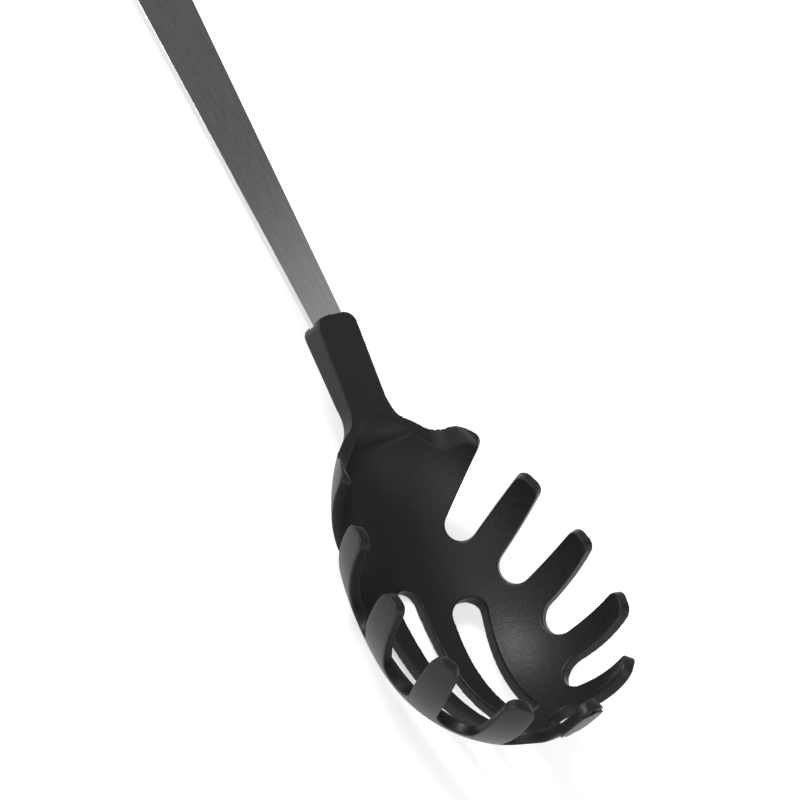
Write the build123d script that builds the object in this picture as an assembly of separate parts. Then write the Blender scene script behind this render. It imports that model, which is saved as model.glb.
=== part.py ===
from build123d import *
import math
import os

# Pasta server: a flat steel strip handle and a one-piece moulded nylon head.
# The tool is drawn along its handle first and tipped onto its resting plane at the end.
# Drawing frame: x runs from the ferrule mouth towards the front tine, z points out of the
# front face of the strip, and y = 0 is the plane of symmetry.
# Bowl frame: the same axes, moved to the bowl's centre and pitched up at the front.

os.makedirs("parts", exist_ok=True)

# Strip handle
strip_thickness = 1.8
strip_width_at_ferrule = 11.3
strip_width_at_end = 25.0
strip_visible_length = 195.0
strip_end_corner = 11.0
strip_edge_round = 0.3
hang_hole_diameter = 8.0
hang_hole_inset = 13.0

# Tang of the strip inside the ferrule
tang_shoulder_depth = 4.0
tang_width = 9.0
tang_depth = 14.5
tang_end_corner = 2.0
tang_key_diameter = 4.0
tang_key_inset = 5.0
moulded_clearance = 0.05

# Bowl, measured on its outer face
bowl_centre_x = 85.5
bowl_centre_z = 11.6
bowl_pitch = 5.3
bowl_front_reach = 38.1
bowl_rear_reach = 59.0
bowl_radius = 35.4
wall = 3.0
profile_steps = 12
pole_flat_radius = 0.5

# Rim plane in the bowl frame, which climbs towards the front
rim_angle = 6.6
rim_height = 2.45
tine_tip_round = 2.8

# Ferrule and neck
ferrule_mouth_x = 1.5
ferrule_front = 3.3
ferrule_back = 4.5
ferrule_back_crown = 0.8
ferrule_corner = 3.2
neck_front_slope = 0.15
neck_back_slope = 0.065
neck_half_width = 6.7
neck_length = 24.0
neck_flare_radius = 12.7
neck_end_x = 35.0
neck_end_rise = 6.0
neck_back_start_x = 25.5
neck_back_radius = 14.0
neck_steps = 5
nub_width = 1.8
nub_height = 0.8
nub_depth = 1.4

# Throat, the dished passage from the neck into the bowl
throat_start_x = 27.5
throat_join_x = 36.0
throat_radius = 11.0
throat_lead = 5.0
throat_clear = 0.8
throat_half_width = 14.0
throat_start_rise = 3.0
throat_steps = 5
shoulder_valley_half_width = 17.3
shoulder_valley_angle = 60.0
shoulder_valley_round = 6.0
shoulder_valley_end_x = 54.0
shoulder_round = 3.5

# Tines and the gaps between them, in the bowl frame
gap_count_per_side = 5
gap_pitch = 17.75
gap_floor_angle = 9.6
gap_floor_height = -16.7
gap_front_radius = 5.3
gap_rear_radius = 4.3
gap_side_angle = 5.4
gap_lean_angle = 11.3
gap_reach_in = 20.0
gap_reach_out = 8.0
gap_reach_up = 45.0

# Drain slots through the bowl floor, in the bowl frame
centre_slot_start = (-14.3, 0.0)
centre_slot_finish = (25.0, 0.0)
centre_slot_wide = 3.8
centre_slot_narrow = 2.0
side_slot_start = (-5.8, 14.6)
side_slot_finish = (23.5, 8.8)
side_slot_wide = 4.2
side_slot_narrow = 2.5

# Shared values
overrun = 8.0
high_above = 60.0
form_inset = 1.5
walk_steps = 2000
rest_turns = 5
flare_limit_share = 0.98
crown_power = 1.5
half_share = 0.5
rear_gap_share = 0.46
half_turn = 180.0
tiny = 0.01

bowl_place = Pos(bowl_centre_x, 0, bowl_centre_z) * Rot(0, -bowl_pitch, 0)


def bowl_reach(along, offset):
    reach = bowl_front_reach if along > 0 else bowl_rear_reach
    return reach - offset


def bowl_section(along, offset):
    """Radius of the egg's round section at a place along its own axis."""
    away = along / bowl_reach(along, offset)
    return (bowl_radius - offset) * math.sqrt(max(0.0, 1 - away * away))


def egg(offset):
    """Bowl form as one smooth turned egg, with a tiny flat at each pole."""
    radius = bowl_radius - offset
    first = math.asin(pole_flat_radius / radius)
    sweep = math.pi - first * 2
    points = []
    tangents = []
    for step in range(profile_steps * 2 + 1):
        angle = first + sweep * step / (profile_steps * 2)
        reach = bowl_rear_reach if step < profile_steps else bowl_front_reach
        points.append((-math.cos(angle) * (reach - offset), math.sin(angle) * radius))
        tangents.append((math.sin(angle) * (reach - offset), math.cos(angle) * radius))
    rib = Spline(points, tangents=[tangents[0], tangents[-1]])
    foot = Polyline(points[-1], (points[-1][0], 0), (points[0][0], 0), points[0])
    return bowl_place * revolve(Plane.XZ * make_face(rib + foot), Axis.X, half_turn * 2)


def dish(x, half_width, rise, floor_z):
    """Section across the tool: a half oval floor under straight sides."""
    middle_z = floor_z + rise
    floor = EllipticalCenterArc((0, middle_z), half_width, rise, start_angle=half_turn, arc_size=half_turn)
    corners = [
        (half_width, middle_z),
        (half_width, high_above),
        (-half_width, high_above),
        (-half_width, middle_z),
    ]
    return Plane.YZ.offset(x) * make_face(floor + Polyline(corners))


def front_line(x):
    return ferrule_front - neck_front_slope * x


def back_line(x):
    return -ferrule_back - neck_back_slope * x


def neck_half(x):
    """Half width of the ferrule and, past it, of the flaring neck."""
    run = min(max(0.0, x - neck_length), neck_flare_radius * flare_limit_share)
    return neck_half_width + neck_flare_radius - math.sqrt(neck_flare_radius ** 2 - run ** 2)


def blend(share, first, last):
    return first + (last - first) * share


def arc_drop(x, start_x, slope, radius):
    """Fall of an arc that leaves a straight line of the given slope at start_x."""
    first = math.atan(slope)
    turn = math.asin(math.sin(first) + (x - start_x) / radius)
    return radius * (math.cos(first) - math.cos(turn))


def throat_floor(x):
    fall = arc_drop(x, throat_start_x, neck_front_slope, throat_radius)
    return front_line(throat_start_x) - fall


def neck_floor(x):
    if x <= neck_back_start_x:
        return back_line(x)
    fall = arc_drop(x, neck_back_start_x, neck_back_slope, neck_back_radius)
    return back_line(neck_back_start_x) - fall


def ferrule_form():
    """Straight ferrule with its two rounded corners at the mouth."""
    ends = []
    for place in (ferrule_mouth_x, neck_length):
        ends.append(dish(place, neck_half_width, ferrule_back_crown, neck_floor(place)))
    form = loft(ends, ruled=True)
    centre_x = ferrule_mouth_x + ferrule_corner
    centre_y = neck_half_width - ferrule_corner
    tall = high_above * 3
    for side in (1, -1):
        corner = Box(overrun, overrun, tall, align=(Align.MAX, Align.MIN, Align.CENTER))
        corner = corner - Cylinder(ferrule_corner, tall)
        form = form - Pos(centre_x, side * centre_y, 0) * (corner if side > 0 else mirror(corner, Plane.XZ))
    return form


def neck_form():
    """Flared neck, running out inside the back of the bowl."""
    sections = []
    for step in range(neck_steps + 1):
        share = step / neck_steps
        place = blend(share, neck_length, neck_end_x)
        rise = blend(share ** crown_power, ferrule_back_crown, neck_end_rise)
        sections.append(dish(place, neck_half(place), rise, neck_floor(place)))
    return loft(sections)


def throat_form():
    """Space above the dished passage from the neck into the bowl."""
    full_rise = bowl_section(throat_join_x - bowl_centre_x, wall) - form_inset
    lead_x = throat_start_x - throat_lead
    sections = [
        dish(lead_x, throat_half_width, throat_start_rise, front_line(lead_x) + throat_clear)
    ]
    for step in range(throat_steps + 1):
        share = step / throat_steps
        place = blend(share, throat_start_x, throat_join_x)
        width = blend(share, throat_half_width, full_rise)
        rise = blend(share, throat_start_rise, full_rise)
        sections.append(dish(place, width, rise, throat_floor(place)))
    return loft(sections)


def shoulder_valley():
    """Space above the ferrule front, the neck and the dip between the shoulders."""
    climb = math.tan(math.radians(shoulder_valley_angle))
    side = shoulder_valley_half_width + high_above / climb
    outline = Polyline(
        (-side, high_above),
        (-shoulder_valley_half_width, 0),
        (shoulder_valley_half_width, 0),
        (side, high_above),
        close=True,
    )
    profile = make_face(outline)
    floor_corners = profile.vertices().sort_by(Axis.Y)[:2]
    profile = fillet(floor_corners, shoulder_valley_round)
    lean = math.degrees(math.atan(neck_front_slope))
    length = (shoulder_valley_end_x + overrun) / math.cos(math.radians(lean))
    start_z = front_line(-overrun)
    start = Plane((-overrun, 0, start_z), x_dir=(0, 1, 0), z_dir=(1, 0, -neck_front_slope))
    return extrude(start * profile, length)


def floor_line(along):
    """Height of the gap floors' centres in the bowl frame."""
    return gap_floor_height + along * math.tan(math.radians(gap_floor_angle))


def gap_places():
    """Centres of the gap floors on one side, at equal steps along the wall from the front."""
    places = []
    travelled = 0.0
    last = None
    reach = bowl_reach(tiny, wall / 2) + bowl_reach(-tiny, wall / 2)
    for step in range(walk_steps):
        along = bowl_reach(tiny, wall / 2) - reach * step / walk_steps
        across = bowl_section(along, wall / 2) ** 2 - floor_line(along) ** 2
        if across < 0:
            continue
        point = (along, math.sqrt(across))
        if last is None:
            last = (along, 0.0)
        travelled += math.dist(point, last)
        last = point
        if travelled >= gap_pitch * (len(places) + half_share):
            places.append(point)
        if len(places) == gap_count_per_side:
            break
    return places


def gap_radius(along):
    """Radius of a gap's round floor, which grows from the rearmost gap to the front one."""
    rear = bowl_rear_reach * rear_gap_share
    share = (along + rear) / (bowl_front_reach + rear)
    return gap_rear_radius + (gap_front_radius - gap_rear_radius) * share


def gap_profile(radius):
    """Gap seen square to the wall at its floor: a round bottom and slightly opening sides."""
    side = math.radians(gap_side_angle)
    meet = (radius * math.cos(side), -radius * math.sin(side))
    top = meet[0] + (gap_reach_up - meet[1]) * math.tan(side)
    bottom = ThreePointArc((-meet[0], meet[1]), (0, -radius), meet)
    sides = Polyline(meet, (top, gap_reach_up), (-top, gap_reach_up), (-meet[0], meet[1]))
    return make_face(bottom + sides)


def gap_cutter(along, across):
    """Gap cut square through the wall and leaning back towards the handle."""
    height = floor_line(along)
    middle = Vector(along, across, height)
    reach = bowl_reach(along, wall / 2)
    round_reach = bowl_radius - wall / 2
    outward = Vector(along / reach ** 2, across / round_reach ** 2, height / round_reach ** 2)
    outward = outward.normalized()
    lean = math.radians(gap_lean_angle)
    upward = Vector(-math.sin(lean), 0, math.cos(lean))
    upward = (upward - outward * upward.dot(outward)).normalized()
    start = Plane(middle - outward * gap_reach_in, x_dir=upward.cross(outward), z_dir=outward)
    return bowl_place * extrude(start * gap_profile(gap_radius(along)), gap_reach_in + gap_reach_out)


def slot_cutter(start, finish, wide, narrow):
    """Teardrop drain slot, wide end towards the handle."""
    ends = Pos(*start) * Circle(wide) + Pos(*finish) * Circle(narrow)
    outline = make_hull(ends.edges())
    return bowl_place * Pos(0, 0, -high_above) * extrude(outline, high_above)


def rim_cutter():
    """Everything above the rim plane, from the shoulders forward."""
    block = Box(high_above * 2, high_above * 2, high_above, align=(Align.CENTER, Align.CENTER, Align.MIN))
    return bowl_place * Pos(0, 0, rim_height) * Rot(0, -rim_angle, 0) * block


def rim_level(point):
    """Height of a point above the rim plane."""
    local = (bowl_place * Pos(0, 0, rim_height) * Rot(0, -rim_angle, 0)).inverse() * Pos(point)
    return local.position.Z


def is_rim_corner(edge):
    """True for a straight edge across the wall on the rim plane."""
    return edge.geom_type == GeomType.LINE and abs(rim_level(edge.center())) < tiny


def corner_cutter(edge, faces, radius):
    """What is taken off to round a straight edge between two flat faces."""
    middle = edge.center()
    along = edge.tangent_at(half_share)
    first = faces[0].normal_at(middle)
    second = faces[1].normal_at(middle)
    between = (first + second).normalized()
    half_angle = first.get_angle(second) / 2
    centre = middle - between * (radius / math.cos(math.radians(half_angle)))
    start = centre + first * radius
    finish = centre + second * radius
    arc = ThreePointArc(start, centre + between * radius, finish)
    outside = Polyline(
        finish,
        finish + second * overrun,
        middle + between * (overrun * 2),
        start + first * overrun,
        start,
    )
    profile = make_face(arc + outside)
    length = edge.length / 2 + wall
    return extrude(profile, length, dir=along) + extrude(profile, length, dir=-along)


head = egg(0) + neck_form() + ferrule_form()
head = head - egg(wall)
head = head - shoulder_valley()
head = head - throat_form()
head = head - rim_cutter()
for along, across in gap_places():
    head = head - gap_cutter(along, across)
    head = head - gap_cutter(along, -across)
head = head - slot_cutter(centre_slot_start, centre_slot_finish, centre_slot_wide, centre_slot_narrow)
for side in (1, -1):
    start = (side_slot_start[0], side * side_slot_start[1])
    finish = (side_slot_finish[0], side * side_slot_finish[1])
    head = head - slot_cutter(start, finish, side_slot_wide, side_slot_narrow)
head = head.solids().sort_by(SortBy.VOLUME)[-1]
cutters = []
for edge in head.edges().filter_by(is_rim_corner):
    faces = [face for face in head.faces() if edge in face.edges()]
    radius = shoulder_round if edge.length > wall * 2 else tine_tip_round
    cutters.append(corner_cutter(edge, faces, radius))
head = head - cutters
head = head.solids().sort_by(SortBy.VOLUME)[-1]


def strip_half(x):
    growth = (strip_width_at_end - strip_width_at_ferrule) / strip_visible_length
    return (strip_width_at_ferrule - growth * (x - ferrule_mouth_x)) / 2


def strip_form(margin):
    """Handle strip with its tang, grown by a margin on every side."""
    end_x = ferrule_mouth_x - strip_visible_length
    step_x = ferrule_mouth_x + tang_shoulder_depth + margin
    tang_x = ferrule_mouth_x + tang_depth + margin
    outline = Polyline(
        (end_x, -strip_half(end_x) - margin),
        (step_x, -strip_half(step_x) - margin),
        (step_x, -tang_width / 2 - margin),
        (tang_x, -tang_width / 2 - margin),
        (tang_x, tang_width / 2 + margin),
        (step_x, tang_width / 2 + margin),
        (step_x, strip_half(step_x) + margin),
        (end_x, strip_half(end_x) + margin),
        close=True,
    )
    face = make_face(outline)
    face = fillet(face.vertices().group_by(Axis.X)[0], strip_end_corner)
    face = fillet(face.vertices().group_by(Axis.X)[-1], tang_end_corner)
    key_x = ferrule_mouth_x + tang_depth - tang_key_inset
    face = face - Pos(key_x, 0) * Circle(tang_key_diameter / 2 - margin)
    return Pos(0, 0, -strip_thickness - margin) * extrude(face, strip_thickness + margin * 2)


def nub_form():
    """Small key nub on the ferrule's mouth, over the strip's front face."""
    start_x = ferrule_mouth_x - nub_height
    bottom = moulded_clearance
    nub = Box(nub_height * 2, nub_width, nub_depth, align=(Align.MIN, Align.CENTER, Align.MIN))
    nub = fillet(nub.edges().filter_by(Axis.Z).group_by(Axis.X)[0], nub_height / 2)
    return Pos(start_x, 0, bottom) * nub


head = head + nub_form() - strip_form(moulded_clearance)
head = head.solids().sort_by(SortBy.VOLUME)[-1]

hole_x = ferrule_mouth_x - strip_visible_length + hang_hole_inset
hang_hole = Pos(hole_x, 0, 0) * Cylinder(hang_hole_diameter / 2, strip_thickness * 3)
handle = strip_form(0) - hang_hole
long_edges = handle.faces().sort_by(Axis.Z)[-1].outer_wire().edges()
long_edges += handle.faces().sort_by(Axis.Z)[0].outer_wire().edges()
handle = fillet(long_edges, strip_edge_round)


def rest_angle():
    """Turn that sets the strip's far end and the bowl's floor on one level."""
    end_x = ferrule_mouth_x - strip_visible_length
    angle = 0
    for turn in range(rest_turns):
        head_low = (Rot(0, angle, 0) * head).bounding_box().min.Z
        handle_low = (Rot(0, angle, 0) * handle).bounding_box().min.Z
        angle += math.degrees(math.atan((head_low - handle_low) / (bowl_centre_x - end_x)))
    return angle


rest = Rot(0, rest_angle(), 0)
pieces = {"head": rest * head, "handle": rest * handle}
box = Compound(children=[piece for piece in pieces.values()]).bounding_box()
place = Pos(-(box.min.X + box.max.X) / 2, -(box.min.Y + box.max.Y) / 2, -box.min.Z)
for name, piece in pieces.items():
    solid = (place * piece).solids()[0]
    export_step(solid, "parts/" + name + ".step")
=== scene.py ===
import math
from typing import NamedTuple

import bpy
from mathutils import Euler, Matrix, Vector


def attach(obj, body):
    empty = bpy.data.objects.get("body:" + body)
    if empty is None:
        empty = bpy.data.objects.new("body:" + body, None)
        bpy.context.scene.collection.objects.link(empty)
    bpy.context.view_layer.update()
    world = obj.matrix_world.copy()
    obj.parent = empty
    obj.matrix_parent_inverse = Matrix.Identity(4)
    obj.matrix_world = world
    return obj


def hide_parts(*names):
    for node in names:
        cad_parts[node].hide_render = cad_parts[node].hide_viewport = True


bl_info = {
    "name": "Pasta Server Look",
    "version": (1, 0, 0),
    "blender": (4, 5, 0),
    "location": "3D View > Sidebar > Pasta Server",
    "description": "Finishes the nylon head and steel handle of a pasta server and lights them",
    "category": "Object",
}

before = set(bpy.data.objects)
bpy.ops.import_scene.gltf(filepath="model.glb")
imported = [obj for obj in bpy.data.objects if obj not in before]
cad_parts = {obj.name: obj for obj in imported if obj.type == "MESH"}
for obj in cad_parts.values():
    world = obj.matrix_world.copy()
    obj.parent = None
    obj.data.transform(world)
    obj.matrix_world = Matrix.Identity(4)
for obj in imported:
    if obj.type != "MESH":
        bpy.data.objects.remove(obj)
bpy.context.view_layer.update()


# Shader sums


class Sock:
    """One output socket that can be used in a sum."""

    def __init__(self, tree, socket):
        self.tree = tree
        self.socket = socket

    def math(self, operation, *others):
        return self.tree.node("ShaderNodeMath", {"operation": operation}, [self, *others])

    def __add__(self, other):
        return self.math("ADD", other)

    __radd__ = __add__

    def __sub__(self, other):
        return self.math("SUBTRACT", other)

    def __rsub__(self, other):
        return self.tree.node("ShaderNodeMath", {"operation": "SUBTRACT"}, [other, self])

    def __mul__(self, other):
        return self.math("MULTIPLY", other)

    __rmul__ = __mul__

    def clamped(self):
        return self.tree.node("ShaderNodeClamp", {}, [self, 0.0, 1.0])


class Tree:
    """A node tree that is written as sums and calls."""

    def __init__(self, owner):
        owner.use_nodes = True
        self.tree = owner.node_tree
        self.tree.nodes.clear()

    def node(self, kind, settings=None, values=(), output=0):
        """Adds a node, sets it, and fills its sockets by place or by name."""
        made = self.tree.nodes.new(kind)
        for name, value in (settings or {}).items():
            setattr(made, name, value)
        pairs = values.items() if isinstance(values, dict) else enumerate(values)
        for key, value in pairs:
            if isinstance(value, Sock):
                self.tree.links.new(value.socket, made.inputs[key])
            else:
                made.inputs[key].default_value = value
        if not made.outputs:
            return made
        return Sock(self, made.outputs[output])

    def place(self, scale=(1.0, 1.0, 1.0)):
        """Object coordinates, in metres times a scale."""
        where = self.node("ShaderNodeTexCoord", output="Object")
        return self.node("ShaderNodeMapping", {}, {"Vector": where, "Scale": scale})

    def noise(self, where, scale, detail, rough=0.5):
        return self.node(
            "ShaderNodeTexNoise",
            {"noise_dimensions": "3D"},
            {"Vector": where, "Scale": scale, "Detail": detail, "Roughness": rough},
        )

    def span(self, value, low, high, to_low=0.0, to_high=1.0):
        """Maps a value from one range to another, held inside the second."""
        return self.node("ShaderNodeMapRange", {"clamp": True}, [value, low, high, to_low, to_high])

    def blend(self, share, first, second):
        """Mixes two colours by a share."""
        return self.node(
            "ShaderNodeMix",
            {"data_type": "RGBA"},
            {0: share, 6: first, 7: second},
            output=2,
        )

    def bump(self, height, strength, distance, normal=None):
        values = {"Height": height, "Strength": strength, "Distance": distance}
        if normal:
            values["Normal"] = normal
        return self.node("ShaderNodeBump", {}, values)

    def looked_at(self):
        """1 for rays from the camera, a reflection or a view through glass, 0 for the rest."""
        rays = ("Is Camera Ray", "Is Glossy Ray", "Is Transmission Ray")
        camera, glossy, through = [self.node("ShaderNodeLightPath", output=ray) for ray in rays]
        return (camera + glossy + through).clamped()

    def principled(self, values):
        self.surface(self.node("ShaderNodeBsdfPrincipled", {}, values))

    def surface(self, shader):
        self.node("ShaderNodeOutputMaterial", {}, {"Surface": shader})


def grey(level):
    return (level, level, level, 1.0)


def shaded(colour, share=1.0):
    """A colour of the settings times a share, with its opacity added."""
    return tuple(channel * share for channel in colour) + (1.0,)


# Nylon

NOISE_MIDDLE = 0.5
COARSE_GRAIN_SHARE = 0.25
NYLON_CLOUD_SCALE = 45.0
NYLON_CLOUD_RANGE = (0.35, 0.65)
SPECK_RANGE = (0.52, 0.72)
NYLON_ROUGHNESS_SWING = 0.05
GRAIN_ROUGHNESS_SWING = 0.25
COARSE_STRENGTH_SHARE = 0.6
COARSE_DEPTH = 0.0002
FINE_DEPTH = 0.00012


def moulded_nylon(look):
    """Black nylon with a fine spark-eroded texture."""
    material = bpy.data.materials.new("moulded_nylon")
    tree = Tree(material)
    where = tree.place()
    fine = tree.noise(where, look.grain_scale, detail=3.0, rough=0.6)
    coarse = tree.noise(where, look.grain_scale * COARSE_GRAIN_SHARE, detail=2.0)
    cloud = tree.noise(where, NYLON_CLOUD_SCALE, detail=3.0)

    speck = tree.span(fine, *SPECK_RANGE)
    colour = tree.blend(speck, shaded(look.nylon_colour), shaded(look.nylon_colour, look.speck_lift))

    smoother = look.nylon_roughness - NYLON_ROUGHNESS_SWING
    rougher = look.nylon_roughness + NYLON_ROUGHNESS_SWING
    rough = tree.span(cloud, *NYLON_CLOUD_RANGE, smoother, rougher)
    rough = rough + (fine - NOISE_MIDDLE) * GRAIN_ROUGHNESS_SWING

    rolled = tree.bump(coarse, look.grain_strength * COARSE_STRENGTH_SHARE, COARSE_DEPTH)
    rolled = tree.bump(fine, look.grain_strength, FINE_DEPTH, rolled)
    tree.principled(
        {
            "Base Color": colour,
            "Roughness": rough.clamped(),
            "Normal": rolled,
            "Specular IOR Level": look.nylon_sheen,
        }
    )
    return material


# Steel

HAIR_SCALE = (8.0, 2400.0, 2400.0)
STREAK_SCALE = (7.0, 700.0, 700.0)
HAIR_SHARE = 0.6
STREAK_SHARE = 0.4
BRUSH_RANGE = (0.36, 0.64)
BRUSH_DARK_SHARE = 0.86
HAIR_RANGE = (0.3, 0.7)
STEEL_SMOOTHER_BY = 0.05
STEEL_ROUGHER_BY = 0.07
STEEL_CLOUD_SCALE = 30.0
STEEL_CLOUD_SWING = 0.06
HAIR_DEPTH = 0.00006


def brushed_steel(look):
    """Steel brushed along the strip, a little duller in bands."""
    material = bpy.data.materials.new("brushed_steel")
    tree = Tree(material)
    hair = tree.noise(tree.place(HAIR_SCALE), 1.0, detail=4.0, rough=0.65)
    streak = tree.noise(tree.place(STREAK_SCALE), 1.0, detail=3.0, rough=0.6)
    cloud = tree.noise(tree.place(), STEEL_CLOUD_SCALE, detail=3.0)

    brushing = tree.span(hair * HAIR_SHARE + streak * STREAK_SHARE, *BRUSH_RANGE)
    colour = tree.blend(brushing, shaded(look.steel_colour, BRUSH_DARK_SHARE), shaded(look.steel_colour))

    smoother = look.steel_roughness - STEEL_SMOOTHER_BY
    rougher = look.steel_roughness + STEEL_ROUGHER_BY
    rough = tree.span(hair, *HAIR_RANGE, smoother, rougher)
    rough = rough + (cloud - NOISE_MIDDLE) * STEEL_CLOUD_SWING
    rolled = tree.bump(hair, look.brush_strength, HAIR_DEPTH)
    tree.principled(
        {
            "Base Color": colour,
            "Metallic": 1.0,
            "Roughness": rough.clamped(),
            "Normal": rolled,
        }
    )
    return material


# Mesh steps

MERGE_DISTANCE = 0.000002


def clear_picks():
    bpy.ops.object.select_all(action="DESELECT")


def pick(piece):
    clear_picks()
    piece.select_set(True)
    bpy.context.view_layer.objects.active = piece


def finish_modifier(piece, kind, **settings):
    """Adds a modifier, sets it and applies it."""
    pick(piece)
    bpy.ops.object.modifier_add(type=kind)
    modifier = piece.modifiers[-1]
    for name, value in settings.items():
        setattr(modifier, name, value)
    bpy.ops.object.modifier_apply(modifier=modifier.name)


def merged_copy(node, name):
    """A copy of a CAD node with its loose triangles joined, to shape further."""
    copy = node.copy()
    copy.data = node.data.copy()
    copy.name = name
    copy.data.name = name
    for key in list(copy.keys()):
        del copy[key]
    copy.parent = None
    bpy.context.scene.collection.objects.link(copy)
    pick(copy)
    bpy.ops.object.mode_set(mode="EDIT")
    bpy.ops.mesh.select_all(action="SELECT")
    bpy.ops.mesh.remove_doubles(threshold=MERGE_DISTANCE)
    bpy.ops.object.mode_set(mode="OBJECT")
    return copy


def dress(piece, material):
    piece.data.materials.clear()
    piece.data.materials.append(material)


# Sizes and colours


class HeadLook(bpy.types.PropertyGroup):
    grid: bpy.props.FloatProperty(
        name="Grid",
        description="Size of the grid on which the moulded edges are rounded",
        default=0.00022,
        unit="LENGTH",
    )
    passes: bpy.props.IntProperty(
        name="Rounding Passes",
        description="How often the moulded edges are eased",
        default=18,
    )
    kept_share: bpy.props.FloatProperty(
        name="Kept Share",
        description="Share of the rounded mesh's triangles that are kept",
        default=0.28,
        subtype="FACTOR",
    )
    nylon_colour: bpy.props.FloatVectorProperty(
        name="Nylon Colour",
        description="Colour of the nylon",
        default=(0.009, 0.009, 0.0095),
        subtype="COLOR",
    )
    speck_lift: bpy.props.FloatProperty(
        name="Speck Lift",
        description="How much paler the texture's peaks are",
        default=2.2,
    )
    nylon_roughness: bpy.props.FloatProperty(
        name="Nylon Roughness",
        description="Roughness of the nylon",
        default=0.4,
        subtype="FACTOR",
    )
    nylon_sheen: bpy.props.FloatProperty(
        name="Nylon Sheen",
        description="Strength of the nylon's reflection",
        default=0.3,
        subtype="FACTOR",
    )
    grain_scale: bpy.props.FloatProperty(
        name="Grain Scale",
        description="Grains of the moulded texture in a metre",
        default=2600.0,
    )
    grain_strength: bpy.props.FloatProperty(
        name="Grain Strength",
        description="Depth of the moulded texture",
        default=0.5,
        subtype="FACTOR",
    )


class HandleLook(bpy.types.PropertyGroup):
    steel_colour: bpy.props.FloatVectorProperty(
        name="Steel Colour",
        description="Colour of the steel",
        default=(0.62, 0.62, 0.63),
        subtype="COLOR",
    )
    steel_roughness: bpy.props.FloatProperty(
        name="Steel Roughness",
        description="Roughness of the brushed steel",
        default=0.21,
        subtype="FACTOR",
    )
    brush_strength: bpy.props.FloatProperty(
        name="Brush Strength",
        description="Depth of the brushing lines",
        default=0.25,
        subtype="FACTOR",
    )


class StageLook(bpy.types.PropertyGroup):
    camera_place: bpy.props.FloatVectorProperty(
        name="Camera Place",
        description="Where the camera stands",
        default=(0.169524, -0.449814, 0.498834),
        subtype="TRANSLATION",
        unit="LENGTH",
    )
    camera_turn: bpy.props.FloatVectorProperty(
        name="Camera Turn",
        description="How the camera is turned",
        default=(math.radians(28.3226), math.radians(-36.0004), math.radians(60.6099)),
        subtype="EULER",
        unit="ROTATION",
    )
    lens: bpy.props.FloatProperty(
        name="Lens",
        description="Length of the lens on a 36 mm sensor",
        default=118.3,
        unit="CAMERA",
    )
    floor_width: bpy.props.FloatProperty(
        name="Floor Width",
        description="Width of the round floor",
        default=6.0,
        unit="LENGTH",
    )


# Steps


class PASTA_OT_mould_head(bpy.types.Operator):
    """Makes the nylon head with its moulded, rounded edges"""

    bl_idname = "pasta.mould_head"
    bl_label = "Mould Head"

    def execute(self, context):
        look = context.scene.head_look
        head = merged_copy(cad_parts["head"], "nylon_head")
        finish_modifier(head, "REMESH", mode="VOXEL", voxel_size=look.grid, adaptivity=0.0)
        finish_modifier(head, "SMOOTH", factor=0.5, iterations=look.passes)
        finish_modifier(head, "DECIMATE", decimate_type="COLLAPSE", ratio=look.kept_share)
        pick(head)
        bpy.ops.object.shade_smooth()
        dress(head, moulded_nylon(look))
        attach(head, "root")
        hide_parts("head")
        return {"FINISHED"}


class PASTA_OT_finish_handle(bpy.types.Operator):
    """Gives the steel strip its brushed finish"""

    bl_idname = "pasta.finish_handle"
    bl_label = "Finish Handle"

    def execute(self, context):
        dress(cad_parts["handle"], brushed_steel(context.scene.handle_look))
        return {"FINISHED"}


class PASTA_OT_set_stage(bpy.types.Operator):
    """Sets the floor, the cards, the sky, the lamps and the camera"""

    bl_idname = "pasta.set_stage"
    bl_label = "Set Stage"

    def execute(self, context):
        look = context.scene.stage_look
        clear_picks()
        add_floor(look.floor_width)
        for card in CARDS:
            add_card(card)
        white_sky(context.scene)
        for lamp in LAMPS:
            add_lamp(lamp)
        add_camera(context.scene, look)
        context.scene.view_settings.view_transform = "Standard"
        return {"FINISHED"}


# Floor and sky

FLOOR_SIDES = 96
PAPER_LEVEL = 0.8
FLOOR_GLOW = 0.55
SKY_DIM = 0.45
SKY_WHITE = 1.0


def add_floor(width):
    bpy.ops.mesh.primitive_circle_add(vertices=FLOOR_SIDES, radius=width / 2, fill_type="NGON")
    floor = bpy.context.object
    floor.name = "floor"
    dress(floor, pale_floor())


def pale_floor():
    """White to the camera and to reflections, with the object's shadow kept."""
    material = bpy.data.materials.new("pale_floor")
    tree = Tree(material)
    paper = tree.node("ShaderNodeBsdfDiffuse", {}, {"Color": grey(PAPER_LEVEL)})
    glow = tree.node("ShaderNodeEmission", {}, {"Color": grey(1.0), "Strength": FLOOR_GLOW})
    both = tree.node("ShaderNodeAddShader", {}, [paper, glow])
    tree.surface(tree.node("ShaderNodeMixShader", {}, [tree.looked_at(), paper, both]))
    return material


def white_sky(scene):
    """A dim even light, white where the camera or a reflection looks at it."""
    world = bpy.data.worlds.new("white_sky")
    scene.world = world
    tree = Tree(world)
    dim, white = [
        tree.node("ShaderNodeBackground", {}, {"Color": grey(1.0), "Strength": level})
        for level in (SKY_DIM, SKY_WHITE)
    ]
    mix = tree.node("ShaderNodeMixShader", {}, [tree.looked_at(), dim, white])
    tree.node("ShaderNodeOutputWorld", {}, {"Surface": mix})


# Cards


class Card(NamedTuple):
    """A card that only reflections show, placed out along a direction from its aim."""

    name: str
    aim: tuple
    direction: tuple
    distance: float
    width: float
    dark: float
    pale: float


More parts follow.
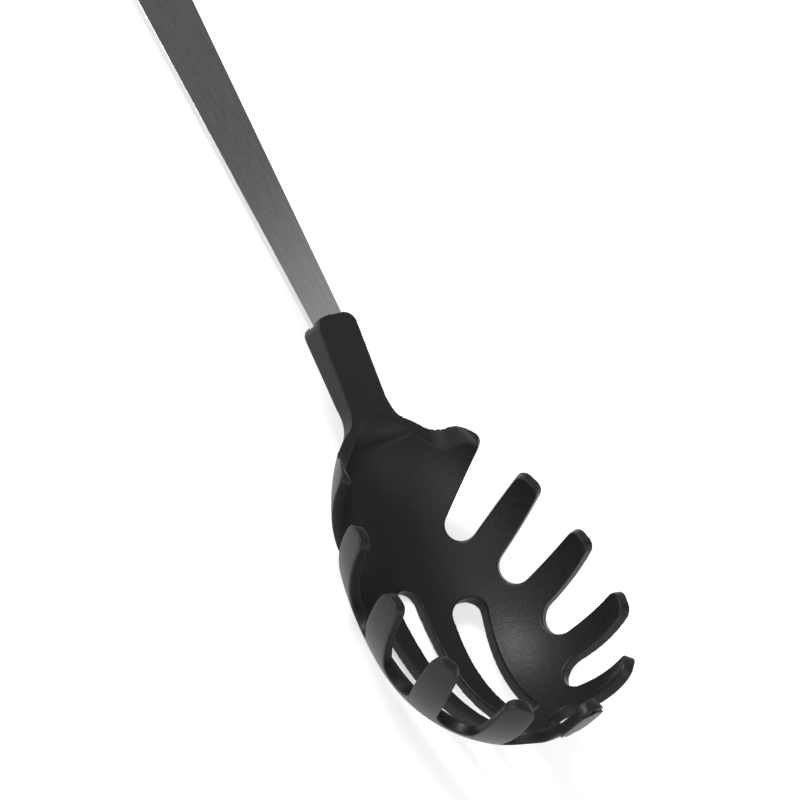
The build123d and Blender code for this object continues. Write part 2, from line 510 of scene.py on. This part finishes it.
CARDS = (
    Card(
        "steel_card",
        aim=(-0.05, 0.0, 0.01),
        direction=(-0.36, 0.64, 0.68),
        distance=0.28,
        width=0.42,
        dark=0.15,
        pale=0.55,
    ),
    Card(
        "bowl_card",
        aim=(0.09, 0.0, 0.02),
        direction=(0.05, 0.5, 0.86),
        distance=0.9,
        width=1.3,
        dark=0.2,
        pale=0.2,
    ),
)
CARD_RAMP_SHARES = (0.1, 0.26)


def add_card(card):
    """Sets up a card, dark at one side and pale at the other."""
    back = -Vector(card.direction).normalized()
    place = Vector(card.aim) - back * card.distance
    turn = back.to_track_quat("Z", "Y").to_euler()
    bpy.ops.mesh.primitive_plane_add(size=card.width, location=place, rotation=turn)
    plane = bpy.context.object
    plane.name = card.name
    material = bpy.data.materials.new(card.name)
    tree = Tree(material)
    across = tree.node("ShaderNodeSeparateXYZ", {}, [tree.place()])
    start, finish = [card.width * share for share in CARD_RAMP_SHARES]
    share = tree.span(across, start, finish)
    levels = (card.dark, card.pale)
    shades = [tree.node("ShaderNodeEmission", {}, {"Color": grey(level)}) for level in levels]
    tree.surface(tree.node("ShaderNodeMixShader", {}, [share, *shades]))
    dress(plane, material)
    plane.visible_camera = False
    plane.visible_diffuse = False
    plane.visible_shadow = False


# Lamps and camera


class Lamp(NamedTuple):
    """A round lamp that faces the bowl."""

    name: str
    place: tuple
    width: float
    power: float


LAMPS = (
    Lamp("key_lamp", (-0.85, -0.6, 0.95), width=0.5, power=14.0),
    Lamp("fill_lamp", (0.9, -1.0, 0.7), width=1.0, power=3.0),
    Lamp("rim_lamp", (0.9, 0.7, 0.9), width=0.8, power=2.0),
)
LAMP_AIM = (0.08, 0.0, 0.02)
SENSOR_WIDTH = 36.0
NEAREST_SEEN = 0.01
FARTHEST_SEEN = 50.0


def add_lamp(lamp):
    back = Vector(lamp.place) - Vector(LAMP_AIM)
    turn = back.to_track_quat("Z", "Y").to_euler()
    bpy.ops.object.light_add(type="AREA", location=lamp.place, rotation=turn)
    light = bpy.context.object
    light.name = lamp.name
    light.data.shape = "DISK"
    light.data.size = lamp.width
    light.data.energy = lamp.power


def add_camera(scene, look):
    turn = Euler(look.camera_turn)
    bpy.ops.object.camera_add(location=look.camera_place, rotation=turn)
    camera = bpy.context.object
    camera.data.sensor_width = SENSOR_WIDTH
    camera.data.lens = look.lens
    camera.data.clip_start = NEAREST_SEEN
    camera.data.clip_end = FARTHEST_SEEN
    scene.camera = camera


# Panel


class PASTA_PT_look(bpy.types.Panel):
    bl_label = "Pasta Server"
    bl_idname = "PASTA_PT_look"
    bl_space_type = "VIEW_3D"
    bl_region_type = "UI"
    bl_category = "Pasta Server"

    def draw(self, context):
        for group in LOOKS:
            box = self.layout.box()
            look = getattr(context.scene, group)
            for name in look.__annotations__:
                box.prop(look, name)
        for step in STEPS:
            self.layout.operator(step.bl_idname)


LOOKS = {"head_look": HeadLook, "handle_look": HandleLook, "stage_look": StageLook}
STEPS = (PASTA_OT_mould_head, PASTA_OT_finish_handle, PASTA_OT_set_stage)


def register():
    for group in (*LOOKS.values(), *STEPS, PASTA_PT_look):
        bpy.utils.register_class(group)
    for name, group in LOOKS.items():
        setattr(bpy.types.Scene, name, bpy.props.PointerProperty(type=group))


def unregister():
    for name in LOOKS:
        delattr(bpy.types.Scene, name)
    for group in (*LOOKS.values(), *STEPS, PASTA_PT_look):
        bpy.utils.unregister_class(group)


def main():
    register()
    bpy.ops.pasta.mould_head()
    bpy.ops.pasta.finish_handle()
    bpy.ops.pasta.set_stage()


if __name__ == "__main__":
    main()
